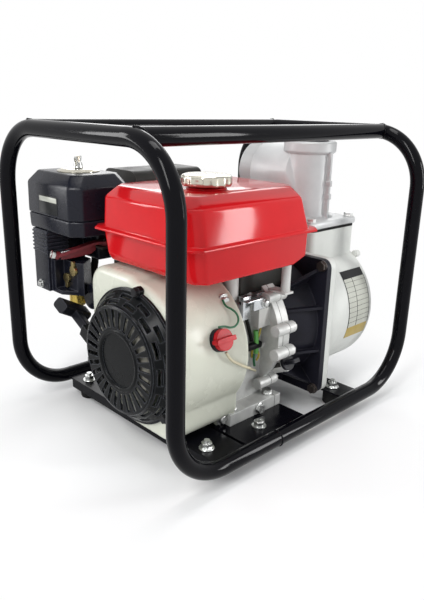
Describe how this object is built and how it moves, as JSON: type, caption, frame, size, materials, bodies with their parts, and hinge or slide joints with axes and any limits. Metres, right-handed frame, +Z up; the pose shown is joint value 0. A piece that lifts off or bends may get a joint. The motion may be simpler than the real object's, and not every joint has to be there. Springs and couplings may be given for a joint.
{
  "type": "engine-driven water pump",
  "caption": "Portable self-priming centrifugal water pump with a small recoil-start petrol engine, both carried in a roll frame of bent black tube on rubber feet",
  "frame": {"origin": "on the floor under the middle of the bounding box, the level of the rubber feet's undersides", "axes": "+X from the recoil starter to the suction port, along the crankshaft; +Y from the switch side to the exhaust side; +Z up"},
  "size_m": [0.51, 0.386, 0.433],
  "materials": {
    "frame_black": "gloss black enamel on bent tube and pressed plates",
    "rubber_black": "moulded black rubber",
    "zinc": "bright zinc-plated steel",
    "cast_silver": "die-cast aluminium, bead-blasted",
    "steel_dark": "machined steel",
    "iron": "bare cast iron",
    "cast_alloy": "cast alloy, machined",
    "cream": "cream enamel on pressed steel",
    "black_plastic": "moulded black plastic, fine grain",
    "reel_plastic": "natural nylon",
    "tank_red": "gloss red enamel on pressed steel",
    "chrome": "bright plating",
    "brass": "yellow passivated metal",
    "red_plastic": "moulded red plastic",
    "filter_foam": "foam and paper element",
    "porcelain": "glazed insulator",
    "muffler_black": "heat-proof black paint",
    "adapter_black": "die casting under black paint",
    "casing_white": "die casting under pale grey paint",
    "elbow_silver": "die casting under light silver-grey paint",
    "unit_white": "moulded pale plastic",
    "wire": "insulated leads"
  },
  "bodies": {
    "pump_unit": {"engine_end_hoop": "frame_black", "pump_end_hoop": "frame_black", "rail_joiners": "steel_dark", "top_rails": "frame_black", "front_cross_plate": "frame_black", "engine_base_plate": "frame_black", "pump_cross_strap": "frame_black", "rubber_feet": "rubber_black", "foot_bolts": "zinc", "crankcase": "cast_silver", "crankcase_cover": "cast_silver", "engine_bolts": "zinc", "main_bearings": "steel_dark", "cylinder_head": "cast_silver", "rocker_cover": "muffler_black", "spark_plug": "porcelain", "spark_plug_cap": "rubber_black", "fan_housing": "cream", "recoil_cover": "black_plastic", "recoil_bolts": "zinc", "fuel_tank": "tank_red", "tank_posts": "cast_silver", "carburetor": "cast_alloy", "carburetor_bowl": "brass", "sediment_cup": "brass", "intake_elbow": "black_plastic", "air_cleaner_base": "black_plastic", "air_cleaner_cover": "black_plastic", "filter_element": "filter_foam", "cover_disc": "chrome", "muffler": "muffler_black", "muffler_shield": "muffler_black", "control_plate": "muffler_black", "switch_base": "black_plastic", "oil_alert_unit": "unit_white", "wiring": "wire", "adapter": "adapter_black", "pump_bolts": "zinc", "pump_casing": "casing_white", "volute": "iron", "mechanical_seal": "steel_dark", "suction_flange": "casing_white", "discharge_elbow": "elbow_silver", "discharge_gasket": "rubber_black"},
    "crank_rotor": {"crankshaft": "steel_dark", "flywheel": "cast_alloy", "starter_cup": "steel_dark", "impeller": "iron"},
    "rope_reel_body": {"rope_reel": "reel_plastic"},
    "starter_handle_body": {"starter_handle": "black_plastic"},
    "throttle_lever_body": {"throttle_lever": "red_plastic"},
    "choke_lever_body": {"choke_lever": "brass"},
    "fuel_valve_lever_body": {"fuel_valve_lever": "brass"},
    "switch_knob_body": {"switch_knob": "red_plastic"},
    "fuel_cap_body": {"fuel_cap": "chrome"},
    "oil_filler_plug_body": {"oil_filler_plug": "black_plastic"},
    "priming_plug_body": {"priming_plug": "black_plastic"},
    "drain_plug_body": {"drain_plug": "black_plastic"},
    "wing_nut_body": {"wing_nut": "zinc"},
    "flap_valve_body": {"flap_valve": "rubber_black"}
  },
  "joints": [
    {"name": "crank_spin", "type": "hinge", "parent": "pump_unit", "child": "crank_rotor", "pos_m": [0, -0.037, 0.137], "axis": [1, 0, 0], "continuous": true},
    {"name": "reel_spin", "type": "hinge", "parent": "pump_unit", "child": "rope_reel_body", "pos_m": [-0.2, -0.037, 0.137], "axis": [1, 0, 0], "range_deg": [0, 550]},
    {"name": "handle_pull", "type": "slide", "parent": "pump_unit", "child": "starter_handle_body", "axis": [-0.8996, 0.4198, 0.12], "range_m": [0, 0.5]},
    {"name": "throttle_turn", "type": "hinge", "parent": "pump_unit", "child": "throttle_lever_body", "pos_m": [-0.146, 0.0907, 0.258], "axis": [0, 0, 1], "range_deg": [0, 25]},
    {"name": "choke_turn", "type": "hinge", "parent": "pump_unit", "child": "choke_lever_body", "pos_m": [-0.192, 0.1007, 0.2244], "axis": [1, 0, 0], "range_deg": [0, 60]},
    {"name": "fuel_valve_turn", "type": "hinge", "parent": "pump_unit", "child": "fuel_valve_lever_body", "pos_m": [-0.192, 0.1187, 0.2104], "axis": [-1, 0, 0], "range_deg": [0, 90]},
    {"name": "switch_turn", "type": "hinge", "parent": "pump_unit", "child": "switch_knob_body", "pos_m": [-0.13, -0.13191, 0.17154], "axis": [0, -0.9397, 0.342], "range_deg": [0, 60]},
    {"name": "fuel_cap_turn", "type": "hinge", "parent": "pump_unit", "child": "fuel_cap_body", "pos_m": [-0.09125, -0.0635, 0.3565], "axis": [0, 0, 1], "range_deg": [0, 90]},
    {"name": "filler_plug_turn", "type": "hinge", "parent": "pump_unit", "child": "oil_filler_plug_body", "pos_m": [0.017, -0.1265, 0.097], "axis": [0, -0.8988, 0.4384], "range_deg": [0, 720]},
    {"name": "priming_plug_turn", "type": "hinge", "parent": "pump_unit", "child": "priming_plug_body", "pos_m": [0.157, -0.037, 0.405], "axis": [0, 0, 1], "range_deg": [0, 720]},
    {"name": "drain_plug_turn", "type": "hinge", "parent": "pump_unit", "child": "drain_plug_body", "pos_m": [0.183, -0.037, 0.0297], "axis": [0, 0, -1], "range_deg": [0, 720]},
    {"name": "wing_nut_turn", "type": "hinge", "parent": "pump_unit", "child": "wing_nut_body", "pos_m": [-0.1625, 0.1275, 0.3658], "axis": [0, 0, 1], "range_deg": [0, 720]},
    {"name": "flap_swing", "type": "hinge", "parent": "pump_unit", "child": "flap_valve_body", "pos_m": [0.214, -0.037, 0.203], "axis": [0, 1, 0], "range_deg": [0, 50]}
  ],
  "couplings": [
    {"joint": "handle_pull", "follows": "reel_spin", "m_per_rad": 0.052}
  ]
}
